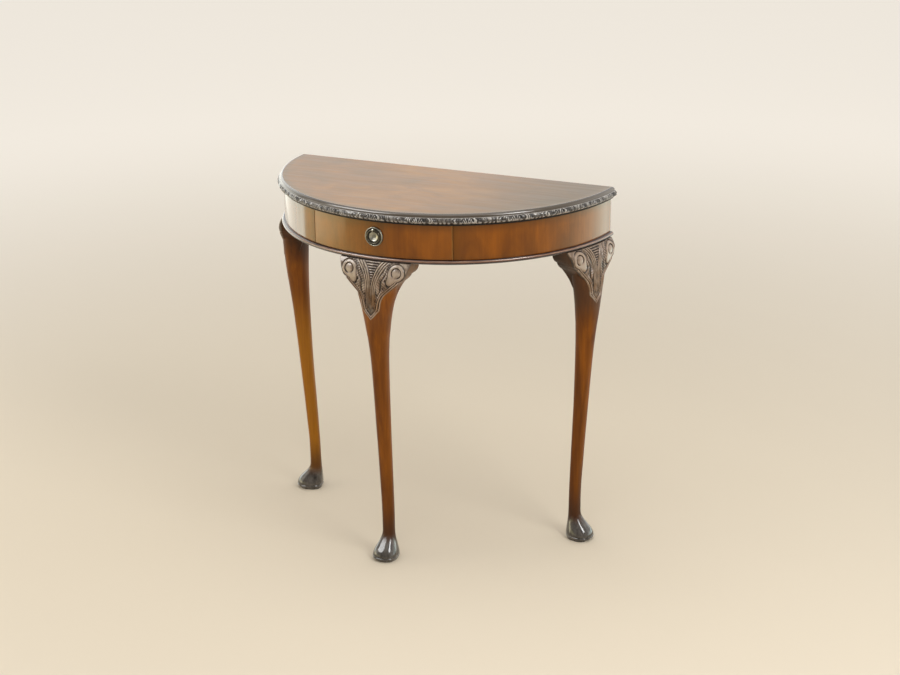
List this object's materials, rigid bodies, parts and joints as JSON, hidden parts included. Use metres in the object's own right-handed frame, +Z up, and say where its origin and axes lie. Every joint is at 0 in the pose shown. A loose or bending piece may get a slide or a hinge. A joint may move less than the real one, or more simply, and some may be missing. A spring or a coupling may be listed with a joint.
{
  "type": "demilune table",
  "caption": "Half-round hall table with a carved edge, a bowed frieze drawer on a ring pull, and cabriole legs with carved knees and pad feet.",
  "frame": {"origin": "on the floor, under the middle of the overall width and depth", "axes": "+X to the right seen from the front, -Y to the front where the curve and drawer face, +Z up"},
  "size_m": [0.7586, 0.3743, 0.762],
  "materials": {
    "top_veneer_walnut": "figured veneer under a worn polish",
    "frieze_veneer_walnut": "upright-grained veneer under a gloss polish",
    "dark_moulding": "dark stain, carved, with worn highs",
    "plain_timber": "bare timber",
    "carved_walnut": "stained and polished, darker towards the feet",
    "antique_brass": "aged brass",
    "screw_steel": "plain steel"
  },
  "bodies": {
    "table": {"back_rail": "plain_timber", "base_board": "plain_timber", "bead_moulding": "dark_moulding", "drawer_guide_left": "plain_timber", "drawer_guide_right": "plain_timber", "drawer_kicker_left": "plain_timber", "drawer_kicker_right": "plain_timber", "drawer_runner_left": "plain_timber", "drawer_runner_right": "plain_timber", "drawer_stop_left": "plain_timber", "drawer_stop_right": "plain_timber", "ear_front_left": "carved_walnut", "ear_front_right": "carved_walnut", "ear_left_left": "carved_walnut", "ear_left_right": "carved_walnut", "ear_right_left": "carved_walnut", "ear_right_right": "carved_walnut", "frieze_left": "plain_timber", "frieze_right": "plain_timber", "frieze_veneer_left": "frieze_veneer_walnut", "frieze_veneer_right": "frieze_veneer_walnut", "glue_block_back_left": "plain_timber", "glue_block_back_right": "plain_timber", "glue_block_left_1": "plain_timber", "glue_block_left_2": "plain_timber", "glue_block_left_3": "plain_timber", "glue_block_right_1": "plain_timber", "glue_block_right_2": "plain_timber", "glue_block_right_3": "plain_timber", "leg_dowels": "plain_timber", "leg_front": "carved_walnut", "leg_left": "carved_walnut", "leg_right": "carved_walnut", "leg_screws": "screw_steel", "top_board": "plain_timber", "top_edge_moulding": "dark_moulding", "top_screws": "screw_steel", "top_veneer": "top_veneer_walnut"},
    "drawer": {"drawer_back": "plain_timber", "drawer_bottom": "plain_timber", "drawer_front": "plain_timber", "drawer_front_veneer": "frieze_veneer_walnut", "drawer_side_left": "plain_timber", "drawer_side_right": "plain_timber", "handle_backplate": "antique_brass", "handle_eyebolt": "antique_brass", "handle_nut": "antique_brass"},
    "pull_ring": {"handle_ring": "antique_brass"}
  },
  "joints": [
    {"name": "drawer_slide", "type": "slide", "parent": "table", "child": "drawer", "axis": [0, -1, 0], "range_m": [0, 0.19]},
    {"name": "ring_hinge", "type": "hinge", "parent": "drawer", "child": "pull_ring", "pos_m": [0, -0.17255, 0.7213], "axis": [-1, 0, 0], "range_deg": [0, 100]}
  ]
}
